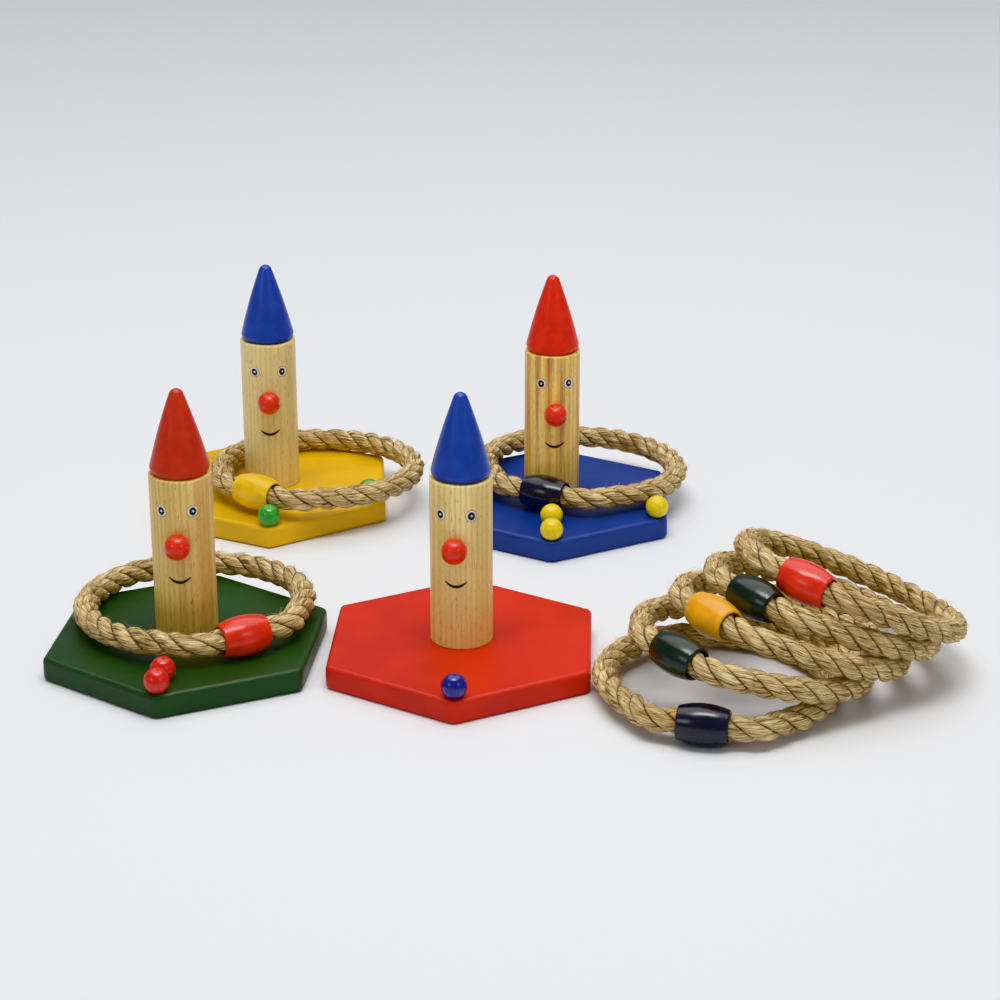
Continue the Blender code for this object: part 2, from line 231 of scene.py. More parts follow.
def add_camera():
    data = bpy.data.cameras.new("camera")
    data.sensor_width = SENSOR_WIDTH_MM
    data.lens = LENS_MM
    camera = bpy.data.objects.new("camera", data)
    camera.location = CAMERA_PLACE
    camera.rotation_euler = (math.pi / 2 - LOOKS_DOWN, 0, 0)
    bpy.context.scene.collection.objects.link(camera)
    bpy.context.scene.camera = camera


class Shader:
    """A material under construction. Each method adds a node and returns the output to use next."""

    def __init__(self, name, roughness=0.5, coat=0.0, coat_roughness=0.1):
        self.material = bpy.data.materials.new(name)
        self.material.use_nodes = True
        self.tree = self.material.node_tree
        self.surface = self.tree.nodes["Principled BSDF"]
        self.set("Roughness", roughness)
        self.set("Coat Weight", coat)
        self.set("Coat Roughness", coat_roughness)
        self.place = self.node("TexCoord").outputs["Object"]

    def set(self, name, value):
        """Sets a socket of the surface to a number, a colour or another node's output."""
        self.feed(self.surface.inputs[name], value)

    def feed(self, socket, value):
        if isinstance(value, bpy.types.NodeSocket):
            self.tree.links.new(value, socket)
        elif hasattr(value, "__len__") and len(value) == 3 and socket.type == "RGBA":
            socket.default_value = (*value, 1.0)
        else:
            socket.default_value = value

    def node(self, kind, inputs=None, **settings):
        made = self.tree.nodes.new("ShaderNode" + kind)
        for key, value in settings.items():
            setattr(made, key, value)
        for key, value in (inputs or {}).items():
            self.feed(made.inputs[key], value)
        return made

    def stretched(self, factors, shift=(0, 0, 0), place=None):
        """The place, moved and then stretched along its axes."""
        moved = self.node("VectorMath", {0: place or self.place, 1: shift}, operation="ADD").outputs[0]
        return self.node("VectorMath", {0: moved, 1: factors}, operation="MULTIPLY").outputs[0]

    def noise(self, scale, place=None, detail=3.0, roughness=0.55):
        return self.node("TexNoise", {"Vector": place or self.place, "Scale": scale, "Detail": detail,
                                      "Roughness": roughness}).outputs["Fac"]

    def between(self, value, low, high, to_low=0.0, to_high=1.0):
        """Maps low..high smoothly to to_low..to_high."""
        inputs = {"Value": value, "From Min": low, "From Max": high, "To Min": to_low, "To Max": to_high}
        return self.node("MapRange", inputs, interpolation_type="SMOOTHSTEP").outputs[0]

    def calculate(self, operation, a, b=0.0):
        return self.node("Math", {0: a, 1: b}, operation=operation).outputs[0]

    def mix(self, share, a, b, blend="MIX"):
        made = self.node("Mix", {0: share, 6: a, 7: b}, data_type="RGBA", blend_type=blend)
        return made.outputs[2]

    def bump(self, height, distance, strength=1.0, under=None):
        inputs = {"Height": height, "Distance": distance, "Strength": strength}
        if under is not None:
            inputs["Normal"] = under
        return self.node("Bump", inputs).outputs[0]


def tinted(colour, share):
    """The colour, lighter for a share above 1 and darker below."""
    return tuple(min(1.0, c * share) for c in colour)


def board_edge(shader):
    """How near a point of a board is to its outline: 0 well inside, 1 on the eased edge."""
    split = shader.node("SeparateXYZ", {0: shader.place}).outputs
    apothem = BOARD_RADIUS * math.cos(math.pi / 6)
    inner, outer = 1.5 * MM, 0.3 * MM
    outermost = None
    for side in range(3):
        bearing = math.radians(60 * side)
        across = shader.calculate("MULTIPLY", split[0], math.cos(bearing))
        along = shader.calculate("MULTIPLY", split[1], math.sin(bearing))
        reach = shader.calculate("ABSOLUTE", shader.calculate("ADD", across, along))
        outermost = reach if outermost is None else shader.calculate("MAXIMUM", outermost, reach)
    near_side = shader.between(outermost, apothem - inner, apothem - outer)
    up = shader.calculate("ABSOLUTE", shader.calculate("SUBTRACT", split[2], BOARD_THICKNESS / 2))
    near_face = shader.between(up, BOARD_THICKNESS / 2 - inner, BOARD_THICKNESS / 2 - outer)
    return shader.calculate("MULTIPLY", near_side, near_face)


def paint(name):
    """Lacquer on wood: a little uneven in colour and gloss, with the wood's grain showing in relief."""
    slot, colour, roughness, coat = PAINTS[name]
    shader = Shader(name, roughness, coat, 0.18)
    flat = name.endswith("board")
    along, cloud_scale, grain_scale, grain_height = (
        ((0.10, 1, 1), 28.0, 620.0, 0.10 * MM) if flat else ((1, 1, 0.12), 160.0, 900.0, 0.06 * MM))
    cloud = shader.noise(cloud_scale, detail=4.0)
    grain = shader.noise(grain_scale, shader.stretched(along), 4.0, 0.6)
    peel = shader.noise(1500.0, detail=1.0)
    look = shader.mix(shader.between(cloud, 0.3, 0.7), tinted(colour, 0.88), tinted(colour, 1.08))
    look = shader.mix(shader.between(grain, 0.55, 0.80, 0.0, 0.20), look, tinted(colour, 0.62))
    if flat:
        edge = board_edge(shader)
        wear = shader.between(shader.noise(210.0), 0.42, 0.62, 0.15, 0.6)
        worn_colour = tuple(min(1.0, c * 1.25 + 0.05) for c in colour)
        look = shader.mix(shader.calculate("MULTIPLY", edge, wear), look, worn_colour)
    shader.set("Base Color", look)
    shader.set("Roughness", shader.between(cloud, 0.25, 0.75, roughness - 0.05, roughness + 0.08))
    relief = shader.bump(grain, grain_height, 0.5)
    shader.set("Normal", shader.bump(peel, 0.03 * MM, 0.35, relief))
    return shader.material


def bare_wood(name):
    """A dowel of pale hardwood: growth rings cut lengthwise, fine fibres and short dark pores."""
    light, dark, streak, ring_share, streak_share, shift = WOODS[name]
    shader = Shader(name + "_wood", 0.5, 0.22, 0.28)
    spot = tuple(s * MM for s in shift)
    rings = shader.node("TexWave", {"Vector": shader.stretched((1, 1, 0.10), spot), "Scale": 125.0,
                                    "Distortion": 2.2, "Detail": 3.0, "Detail Scale": 1.4,
                                    "Detail Roughness": 0.6},
                        wave_type="RINGS", rings_direction="Z", wave_profile="SIN").outputs["Fac"]
    cloud = shader.noise(55.0, shader.stretched((1, 1, 0.25), spot), 3.0)
    fibres = shader.noise(1500.0, shader.stretched((1, 1, 0.035), spot), 4.0, 0.65)
    pores = shader.noise(1900.0, shader.stretched((1, 1, 0.16), spot), 2.0, 0.5)
    bands = shader.noise(210.0, shader.stretched((1, 1, 0.035), spot), 3.0, 0.5)
    look = shader.mix(shader.between(rings, 0.35, 1.0, 0.0, ring_share), light, dark)
    look = shader.mix(shader.between(cloud, 0.35, 0.75, 0.0, 0.45), look, dark)
    look = shader.mix(shader.between(bands, 0.50, 0.66, 0.0, streak_share), look, streak)
    look = shader.mix(shader.between(fibres, 0.35, 0.75, 0.0, 0.35), look, tinted(light, 1.15))
    look = shader.mix(shader.between(pores, 0.60, 0.72, 0.0, 0.55), look, tinted(streak, 0.55))
    shader.set("Base Color", look)
    shader.set("Roughness", shader.between(fibres, 0.3, 0.8, 0.42, 0.60))
    relief = shader.bump(shader.between(pores, 0.58, 0.74, 1.0, 0.0), 0.06 * MM, 0.6)
    shader.set("Normal", shader.bump(fibres, 0.05 * MM, 0.4, relief))
    return shader.material


def sisal():
    """Straw-coloured hard fibre that runs along the rope, with painted shade dark in the grooves."""
    shader = Shader("sisal", 0.75)
    along = shader.node("UVMap", uv_map="fibres").outputs[0]
    painted_shade_and_hair_tone = shader.node("Attribute", attribute_name="painted_shade_and_hair_tone").outputs["Fac"]
    hairs = shader.noise(1.0, shader.stretched((3.4, 0.16, 1), place=along), 4.0, 0.65)
    yarns = shader.noise(1.0, shader.stretched((0.95, 0.07, 1), (3, 7, 0), along), 2.0)
    weathered = shader.noise(30.0, detail=3.0)
    look = shader.mix(shader.between(hairs, 0.34, 0.64), SISAL["between_hairs"], SISAL["hair"])
    look = shader.mix(shader.between(yarns, 0.52, 0.66, 0.0, 0.8), look, SISAL["dark_yarn"])
    look = shader.mix(shader.between(yarns, 0.32, 0.45, 0.6, 0.0), look, SISAL["pale_yarn"])
    look = shader.mix(shader.between(weathered, 0.50, 0.74, 0.0, 0.35), look, SISAL["weathered"])
    # painted shade: the dark colour goes into the grooves and low yarns, and tones some hairs
    look = shader.mix(shader.between(painted_shade_and_hair_tone, 0.30, 1.0, 0.0, 0.80), look, SISAL["painted_shade_and_hair_tone"])
    shader.set("Base Color", look)
    shader.set("Sheen Weight", 0.1)
    shader.set("Sheen Roughness", 0.4)
    shader.set("Normal", shader.bump(hairs, 0.25 * MM, 0.9))
    return shader.material


def plain(name, colour, roughness, coat=0.0, metallic=0.0):
    """A small painted or metal surface, finely uneven."""
    shader = Shader(name, roughness, coat)
    cloud = shader.noise(700.0, detail=2.0)
    shader.set("Base Color", shader.mix(shader.between(cloud, 0.3, 0.7), tinted(colour, 0.85), colour))
    shader.set("Metallic", metallic)
    shader.set("Normal", shader.bump(cloud, 0.02 * MM, 0.5))
    return shader.material


def add_mesh(name, vertices, faces, place, materials):
    mesh = bpy.data.meshes.new(name)
    mesh.from_pydata([tuple(v) for v in vertices], [], [tuple(f) for f in faces])
    piece = bpy.data.objects.new(name, mesh)
    bpy.context.scene.collection.objects.link(piece)
    piece.matrix_world = place
    for material in materials:
        mesh.materials.append(material)
    mesh.shade_smooth()
    return piece


def finish_piece(piece, body, nodes=()):
    """Puts a piece on its body and hides the CAD parts that it stands for."""
    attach(piece, body)
    if nodes:
        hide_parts(*nodes)


def arc(middle, radius, start, end, steps):
    """Points of an arc, from start to end degrees."""
    turns = [math.radians(start + (end - start) * i / steps) for i in range(steps + 1)]
    return [(middle[0] + radius * math.cos(t), middle[1] + radius * math.sin(t)) for t in turns]


def turned(name, profile, place, material, steps=64, closed=False, uneven=0.0, seed=0):
    """Turns (radius, height) points, listed from top to bottom, about Z, a little out of true."""
    vertices, rows, faces = [], [], []
    for radius, height in profile:
        count = 1 if radius < 1e-7 else steps
        rows.append([len(vertices) + i for i in range(count)])
        for i in range(count):
            turn = math.tau * i / steps
            spot = Vector((radius * math.cos(turn), radius * math.sin(turn), height))
            spot *= 1 + uneven * noise.noise(spot * 90 + Vector((seed * 7.3, 0, 0))) if radius else 1
            vertices.append(spot)
    for upper, lower in zip(rows, rows[1:] + rows[:1] if closed else rows[1:]):
        for i in range(steps):
            corners = [upper[i % len(upper)], lower[i % len(lower)],
                       lower[(i + 1) % len(lower)], upper[(i + 1) % len(upper)]]
            faces.append(list(dict.fromkeys(corners)))
    piece = add_mesh(name, vertices, faces, place, [material])
    piece.data.set_sharp_from_angle(angle=math.radians(40))
    return piece


def hat_profile():
    """A slightly swelling cone between a round tip and a round hem."""
    hem = Vector((HAT_RADIUS - HAT_HEM_RADIUS, HAT_HEM_RADIUS))
    tip = Vector((0.0, HAT_HEIGHT - HAT_TIP_RADIUS))
    run = tip - hem
    side = math.atan2(-run.x, run.y) + math.asin((HAT_HEM_RADIUS - HAT_TIP_RADIUS) / run.length)
    outward = Vector((math.cos(side), math.sin(side)))
    top = tip + outward * HAT_TIP_RADIUS
    bottom = hem + outward * HAT_HEM_RADIUS
    points = arc(tip, HAT_TIP_RADIUS, 90, math.degrees(side), 8)
    points[0] = (0.0, HAT_HEIGHT)
    for i in range(1, 12):
        share = i / 12
        spot = top.lerp(bottom, share) + outward * HAT_SWELL * 4 * share * (1 - share)
        points.append((spot.x, spot.y))
    points += arc(hem, HAT_HEM_RADIUS, math.degrees(side), -90, 10)
    return points + [(0.0, 0.0)]


def peg_profile():
    """A dowel with a broken edge at the top and the foot."""
    foot_rim = PEG_RIM / 3
    points = [(0.0, PEG_TOP)] + arc((PEG_RADIUS - PEG_RIM, PEG_TOP - PEG_RIM), PEG_RIM, 90, 0, 5)
    points += [(PEG_RADIUS, PEG_TOP + (PEG_BOTTOM - PEG_TOP) * i / 12) for i in range(1, 12)]
    return points + [(PEG_RADIUS, PEG_BOTTOM + foot_rim), (PEG_RADIUS - foot_rim, PEG_BOTTOM),
                     (0.0, PEG_BOTTOM)]


def ball_profile(radius, middle, foot):
    """A ball cut off flat at the height of its foot."""
    low = math.degrees(math.asin((foot - middle) / radius))
    points = arc((0.0, middle), radius, 90, low, 22)
    points[0] = (0.0, middle + radius)
    return points + [(points[-1][0] * 0.9, foot), (0.0, foot)]


def bead_profile():
    """A barrel with a round bore and well rounded ends."""
    half = BEAD_LENGTH / 2
    swell = BEAD_RADIUS - BEAD_END_RADIUS
    rounding, nip = BEAD_ROUNDING, 0.05 * MM
    barrel = []
    for i in range(-12, 13):
        share = i / 12 * (1 - rounding / half)
        barrel.append((BEAD_END_RADIUS + swell * (1 - share ** 2), -half * share))
    top = arc((barrel[0][0] - rounding, half - rounding), rounding, 90, 18, 5)
    bottom = [(x, -z) for x, z in reversed(top)]
    lip = BEAD_BORE_RADIUS + BEAD_LIP
    return ([(BEAD_BORE_RADIUS, half - BEAD_LIP), (lip, half - nip)] + top + barrel + bottom
            + [(lip, nip - half), (BEAD_BORE_RADIUS, BEAD_LIP - half)])


def board_piece(name, place, material):
    """A hexagonal board with hand-sanded edges and the countersunk hole of its screw underneath."""
    shape = bmesh.new()
    bmesh.ops.create_cone(shape, cap_ends=True, segments=6, radius1=BOARD_RADIUS, radius2=BOARD_RADIUS,
                          depth=BOARD_THICKNESS, matrix=Matrix.Translation((0, 0, BOARD_THICKNESS / 2)))
    rims = [e for e in shape.edges if abs(e.verts[0].co.z - e.verts[1].co.z) < BOARD_THICKNESS / 2]
    bmesh.ops.subdivide_edges(shape, edges=rims, cuts=9)
    creases = [e for e in shape.edges if e.calc_face_angle(0.0) > 0.5]
    bmesh.ops.bevel(shape, geom=creases, offset=BOARD_EASED_EDGE, segments=6, profile=0.5,
                    affect="EDGES")
    for vertex in shape.verts:
        sanded = 1 + BOARD_UNEVEN * noise.noise(vertex.co * 60 + Vector((0, 0, len(name))))
        vertex.co.x *= sanded
        vertex.co.y *= sanded
    mesh = bpy.data.meshes.new(name)
    shape.to_mesh(mesh)
    shape.free()
    board = bpy.data.objects.new(name, mesh)
    bpy.context.scene.collection.objects.link(board)
    room_round, room_above = SCREW_HEAD_ROOM
    head = SCREW_HEAD_RADIUS + room_round
    deep = SCREW_RECESS + SCREW_HEAD_HEIGHT + room_above
    outline = [(0.0, SCREW_HOLE_DEPTH), (SCREW_HOLE_RADIUS, SCREW_HOLE_DEPTH), (SCREW_HOLE_RADIUS, deep),
               (head, SCREW_RECESS - room_above), (head, -MM), (0.0, -MM)]
    hole = turned(name + "_cutter", outline, Matrix.Identity(4), material, 40)
    drill = board.modifiers.new("Screw hole", "BOOLEAN")
    drill.object = hole
    evaluated = board.evaluated_get(bpy.context.evaluated_depsgraph_get())
    board.data = bpy.data.meshes.new_from_object(evaluated)
    board.modifiers.clear()
    bpy.data.objects.remove(hole)
    board.data.materials.clear()
    board.data.materials.append(material)
    board.data.shade_smooth()
    board.data.set_sharp_from_angle(angle=math.radians(50))
    board.modifiers.new("Flat faces stay flat", "WEIGHTED_NORMAL").keep_sharp = True
    board.matrix_world = place
    return board


class FacePaint:
    """Brush marks on the peg's front: thin domed pads that follow the wood's curve."""

    def __init__(self):
        self.vertices = []
        self.faces = []
        self.paints = []

    def on_peg(self, across, up, lift):
        """A point of the peg's surface: millimetres across from the nose, up, and off the wood."""
        turn = across * MM / PEG_RADIUS
        reach = PEG_RADIUS + lift * MM
        return (reach * math.sin(turn), -reach * math.cos(turn), up * MM)

    def pad(self, outline, middle, lift, paint_number):
        """A closed pad inside an outline: a rounded rim, a raised middle and a back in the wood."""
        first = len(self.vertices)
        count = len(outline)
        levels = [(1.0, PAINT_BACK), (1.0, lift * 0.55), (0.93, lift * 0.9), (0.6, lift), (0.3, lift)]
        for share, height in levels:
            for x, y in outline:
                spot = (middle[0] + (x - middle[0]) * share, middle[1] + (y - middle[1]) * share)
                self.vertices.append(self.on_peg(*spot, height))
        top = len(self.vertices)
        self.vertices.append(self.on_peg(*middle, lift))
        self.vertices.append(self.on_peg(*middle, PAINT_BACK))
        for level in range(len(levels) - 1):
            for i in range(count):
                a, b = first + level * count + i, first + level * count + (i + 1) % count
                self.faces.append((a, b, b + count, a + count))
        last = first + (len(levels) - 1) * count
        for i in range(count):
            j = (i + 1) % count
            self.faces.append((last + i, last + j, top))
            self.faces.append((first + j, first + i, top + 1))
        self.paints += [paint_number] * (len(self.faces) - len(self.paints))

    def oval(self, middle, across, up, lift, paint_number, tilt=0.0, steps=28):
        outline = []
        for i in range(steps):
            turn = math.tau * i / steps
            x, y = across * math.cos(turn), up * math.sin(turn)
            outline.append((middle[0] + x * math.cos(tilt) - y * math.sin(tilt),
                            middle[1] + x * math.sin(tilt) + y * math.cos(tilt)))
        self.pad(outline, middle, lift, paint_number)

    def stroke(self, line, widths, lift, paint_number):
        """A brush stroke along a line, as a closed ridge of the given half widths."""
        first = len(self.vertices)
        section = [(-1, PAINT_BACK), (-1, lift * 0.4), (-0.5, lift),
                   (0.5, lift), (1, lift * 0.4), (1, PAINT_BACK)]
        count = len(section)
        for i, (x, y) in enumerate(line):
            ahead, behind = line[min(i + 1, len(line) - 1)], line[max(i - 1, 0)]
            way = Vector((ahead[0] - behind[0], ahead[1] - behind[1])).normalized()
            for side, height in section:
                spot = (x + way.y * side * -widths[i], y + way.x * side * widths[i])
                self.vertices.append(self.on_peg(*spot, height))
        for i in range(len(line) - 1):
            for j in range(count):
                a, b = first + i * count + j, first + i * count + (j + 1) % count
                self.faces.append((a, a + count, b + count, b))
        end = first + (len(line) - 1) * count
        self.faces.append(tuple(first + j for j in range(count)))
        self.faces.append(tuple(end + j for j in reversed(range(count))))
        self.paints += [paint_number] * (len(self.faces) - len(self.paints))


def add_face(name, place, white, black):
    """Two round eyes with a glint, and a smile."""
    brush = FacePaint()
    outline = EYE_WHITE + EYE_OUTLINE
    for side in (-1, 1):
        middle = (side * EYE_SPREAD, EYE_LEVEL)
        glint = (middle[0] + EYE_GLINT_OFF[0], middle[1] + EYE_GLINT_OFF[1])
        brush.oval(middle, outline, outline, EYE_LIFTS[0], BLACK)
        brush.oval(middle, EYE_WHITE, EYE_WHITE, EYE_LIFTS[1], WHITE)
        brush.oval(middle, *EYE_PUPIL, EYE_LIFTS[2], BLACK, tilt=EYE_PUPIL_TILT)
        brush.oval(glint, EYE_GLINT, EYE_GLINT, EYE_LIFTS[3], WHITE, steps=16)
    line, widths = [], []
    for i in range(25):
        share = i / 12 - 1
        line.append((share * MOUTH_HALF_WIDTH, MOUTH_LEVEL - MOUTH_SAG * (1 - share ** 2)))
        widths.append(MOUTH_STROKE * (1 - 0.75 * abs(share) ** 2.5))
    brush.stroke(line, widths, MOUTH_LIFT, BLACK)
    face = add_mesh(name, brush.vertices, brush.faces, place, [white, black])
    face.data.polygons.foreach_set("material_index", brush.paints)
    shape = bmesh.new()
    shape.from_mesh(face.data)
    bmesh.ops.recalc_face_normals(shape, faces=shape.faces)
    shape.to_mesh(face.data)
    shape.free()
    return face


def build_stand(name, paints, woods, white, black, steel):
    board_paint, hat_paint, knob_paint, board_turn, face_turn = STANDS[name]
    body = name + "_stand"
    low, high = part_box(name + "_peg")
    upright = Matrix.Translation(((low.x + high.x) / 2, (low.y + high.y) / 2, 0.0))
    board_place = upright @ Matrix.Rotation(math.radians(board_turn), 4, "Z")
    peg_place = upright @ Matrix.Rotation(math.radians(face_turn), 4, "Z")

    board = board_piece(name + "_board", board_place, paints[board_paint])
    finish_piece(board, body, [name + "_base"])
    peg = turned(name + "_dowel_peg", peg_profile(), peg_place, woods[name], PEG_STEPS,
                 uneven=PEG_UNEVEN)
    finish_piece(peg, body, [name + "_peg"])
    hat = turned(name + "_pointed_hat", hat_profile(),
                 peg_place @ Matrix.Translation((0, 0, PEG_TOP + TOUCH)), paints[hat_paint], HAT_STEPS,
                 uneven=HAT_UNEVEN, seed=len(name))
    finish_piece(hat, body, [name + "_hat"])
    nose_place = (peg_place @ Matrix.Translation((0, 0, NOSE_HEIGHT))
                  @ Matrix.Rotation(math.radians(90), 4, "X"))
    nose = turned(name + "_ball_nose", ball_profile(NOSE_RADIUS, NOSE_AHEAD, PEG_RADIUS - NOSE_SUNK),
                  nose_place, paints["nose"], BALL_STEPS, uneven=BALL_UNEVEN, seed=3)
    finish_piece(nose, body, [name + "_nose"])
    finish_piece(add_face(name + "_face", peg_place, white, black), body)

    knobs = sorted(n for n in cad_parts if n.startswith(name + "_knob_"))
    for number, node in enumerate(knobs, 1):
        low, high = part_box(node)
        spot = Matrix.Translation(((low.x + high.x) / 2, (low.y + high.y) / 2, 0.0))
        knob = turned(f"{name}_ball_{number}",
                      ball_profile(KNOB_RADIUS, KNOB_HEIGHT, BOARD_THICKNESS + TOUCH), spot,
                      paints[knob_paint], BALL_STEPS, uneven=BALL_UNEVEN, seed=number)
        finish_piece(knob, body, [node])
    for node, material in ((name + "_base_screw", steel), (name + "_hat_dowel", woods[name])):
        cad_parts[node].data.materials.clear()
        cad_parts[node].data.materials.append(material)


def ring_reach(bearing):
    """Distance of the rope's centreline from the ring's middle, at a bearing from the bead."""
    turn = abs((bearing + math.pi) % math.tau - math.pi)
    if turn <= BEND_START:
        return BEAD_DISTANCE / math.cos(turn)
    if turn >= BEND_END:
        return RING_RADIUS
    ease = smooth((turn - BEND_START) / (BEND_END - BEND_START))
    return (1 - ease) * BEAD_DISTANCE / math.cos(turn) + ease * RING_RADIUS


def ring_place(name):
    _, spot, lean_right, lean_back, bearing = RINGS[name]
    return (Matrix.Translation(Vector(spot) * MM - SET_CENTRE)
            @ Matrix.Rotation(math.radians(lean_right), 4, "Y")
            @ Matrix.Rotation(math.radians(lean_back), 4, "X")
            @ Matrix.Rotation(math.radians(bearing), 4, "Z"))


def smooth(share):
    """0 to 1 with a level start and finish."""
    return share * share * (3 - 2 * share)


def strand_reach(turn):
    """Distance from the rope's middle to a strand's back, at an angle from the strand's crest."""
    aside = STRAND_OFFSET * np.sin(turn)
    return STRAND_OFFSET * np.cos(turn) + np.sqrt(STRAND_RADIUS ** 2 - aside ** 2)


class Rope:
    """Three strands laid right-handed round the ring's centreline, as one closed surface with hairs."""

    def __init__(self, seed):
        self.random = np.random.default_rng(seed)
        start = math.atan2(ROPE_ENDS_GAP / 2, BEAD_DISTANCE)
        bearings = np.linspace(start, math.tau - start, ROPE_STATIONS)
        reach = np.array([ring_reach(b) for b in bearings])
        self.line = np.stack([reach * np.cos(bearings), reach * np.sin(bearings), 0 * reach], axis=1)
        steps = np.linalg.norm(np.diff(self.line, axis=0), axis=1)
        self.along = np.concatenate([[0], np.cumsum(steps)])
        ahead = np.gradient(self.line, axis=0)
        ahead /= np.linalg.norm(ahead, axis=1)[:, None]
        self.outward = np.stack([ahead[:, 1], -ahead[:, 0], 0 * reach], axis=1)
        first_turn = self.random.uniform(0, math.tau)
        self.lay = first_turn + math.tau * self.along / ROPE_LAY + self.wave(*LAY_WANDER)

    def wave(self, period, amount):
        """A smooth random wander along the rope."""
        total = np.zeros(ROPE_STATIONS)
        for harmonic in (1.0, 1.7, 2.9):
            turn = self.random.uniform(0, math.tau)
            total += np.sin(math.tau * self.along * harmonic / period + turn) / harmonic
        return amount * total / 2

    def drawn_out(self, across, along, width, length):
        """Random ups and downs, -1 to 1, drawn out along the fibres."""
        cells = 64
        table = self.random.uniform(-1, 1, (cells, cells))
        column = np.floor(across / width).astype(int)
        share = smooth(across / width - column)
        total = 0
        for step, weight in ((0, 1 - share), (1, share)):
            lane = (column + step) % cells
            spot = along / length + 17.3 * table[lane, 0]
            row = np.floor(spot).astype(int)
            part = smooth(spot - row)
            low, high = table[lane, row % cells], table[lane, (row + 1) % cells]
            total = total + weight * (low * (1 - part) + high * part)
        return total

    def place(self, station, turn, reach):
        """Points off the centreline at stations; the turn is right-handed about the way ahead."""
        cos, sin = np.cos(turn)[..., None], np.sin(turn)[..., None]
        down = np.array([0.0, 0.0, -1.0])
        return self.line[station] + (self.outward[station] * cos + down * sin) * reach[..., None]

    def strand(self, number):
        """One strand's points, fibre coordinates (mm) and painted shade, darkest in the grooves."""
        crest = self.lay + math.tau * number / STRANDS + self.wave(*CREST_WANDER)
        half = math.pi / STRANDS
        turn = np.linspace(-half, half, STRAND_CELLS + 1)[None, :]
        inner = 1 - smooth(np.clip((np.abs(turn) - GROOVE_START) / (half - GROOVE_START), 0, 1))
        across = turn * FIBRE_RADIUS + FIBRE_SLANT * self.along[:, None]
        along = self.along[:, None] + 0 * across
        yarns = self.drawn_out(across, along, *YARN_SIZE)
        fibres = self.drawn_out(across, along, *FIBRE_SIZE)
        size = self.wave(*SIZE_WANDER)[:, None]
        reach = strand_reach(turn) + (size + YARN_RELIEF * yarns + FIBRE_RELIEF * fibres) * inner
        reach = np.minimum(reach - GROOVE_NOTCH * (1 - inner), GREATEST_REACH)
        station = np.arange(ROPE_STATIONS)[:, None] + 0 * across.astype(int)
        # painted shade: darkest in the grooves between strands, and a little where the yarns sink
        shade = (1 - inner) + np.clip(-yarns - 0.25, 0, 1) * 0.45
        points = self.place(station, crest[:, None] + turn, reach)
        return points, np.stack([across, along], axis=-1) / MM, shade

    def build(self, name, place, material):
        """Makes the rope's mesh where it lies, with its fibre coordinates, its painted groove shade and
        each hair's tone.
        """
        vertices, faces, uvs, shades = [], [], [], []
        strands = [self.strand(number) for number in range(STRANDS)]
        around = STRANDS * STRAND_CELLS
        for station in range(ROPE_STATIONS):
            for points, _, shade in strands:
                vertices.extend(points[station, :-1])
                shades.extend(shade[station, :-1])
        for station in range(ROPE_STATIONS - 1):
            for cell in range(around):
                strand, column = divmod(cell, STRAND_CELLS)
                a, b = station * around + cell, station * around + (cell + 1) % around
                faces.append((a, a + around, b + around, b))
                fibre = strands[strand][1]
                uvs.extend((fibre[station, column], fibre[station + 1, column],
                            fibre[station + 1, column + 1], fibre[station, column + 1]))
        for station, order in ((0, 1), (ROPE_STATIONS - 1, -1)):
            middle = len(vertices)
            vertices.append(self.line[station])
            shades.append(1.0)
            for cell in range(around):
                a, b = station * around + cell, station * around + (cell + 1) % around
                faces.append((a, b, middle)[::order])
                uvs.extend([(0.0, 0.0)] * 3)
        upward = np.array(place.to_3x3()).T @ np.array([0.0, 0.0, 1.0])
        for _ in range(LYING_HAIRS):
            self.hair(vertices, faces, uvs, shades, self.lying_line(), LYING_HAIR_RADIUS)
        for _ in range(LOOSE_HAIRS):
            self.hair(vertices, faces, uvs, shades, self.loose_line(upward), LOOSE_HAIR_RADIUS)
        rope = add_mesh(name, vertices, faces, place, [material])
        layer = rope.data.uv_layers.new(name="fibres")
        layer.uv.foreach_set("vector", np.array(uvs, np.float32).ravel())
        # the painted shade of the grooves and low yarns, and each hair's darker tone
        shade_layer = rope.data.attributes.new("painted_shade_and_hair_tone", "FLOAT", "POINT")
        shade_layer.data.foreach_set("value", np.array(shades, np.float32))
        rope.data.transform(place)
        rope.matrix_world = Matrix.Identity(4)
        return rope

    def surface_point(self, at, turn, rise):
        """A point above the surface, at a length along the rope and an angle round it."""
        station = int(np.clip(np.searchsorted(self.along, at), 1, ROPE_STATIONS - 1))
        blend = (at - self.along[station - 1]) / (self.along[station] - self.along[station - 1])
        lay = self.lay[station - 1] * (1 - blend) + self.lay[station] * blend
        third = math.tau / STRANDS
        from_crest = (turn - lay + third / 2) % third - third / 2
        reach = float(strand_reach(from_crest)) + rise
        middle = self.line[station - 1] * (1 - blend) + self.line[station] * blend
        out = self.outward[station] * math.cos(turn) - np.array([0, 0, math.sin(turn)])
        return middle + out * reach, out

    def lying_line(self):
        """A fibre that has worked out a little and lies along the rope."""
        clear = BEAD_LENGTH / 2 + 2 * MM
        at = self.random.uniform(clear, self.along[-1] - clear - 12 * MM)
        turn = self.random.uniform(0, math.tau)
        run, drift = self.random.uniform(*LYING_HAIR_LENGTHS) * MM, self.random.normal(0, 0.10)
        lift = self.random.uniform(*LYING_HAIR_LIFTS) * MM
        line = []
        for share in (i / 6 for i in range(7)):
            rise = lift - LYING_HAIR_DIP * (2 * share - 1) ** 4
            line.append(self.surface_point(at + run * share, turn + drift * share, rise)[0])
        return line

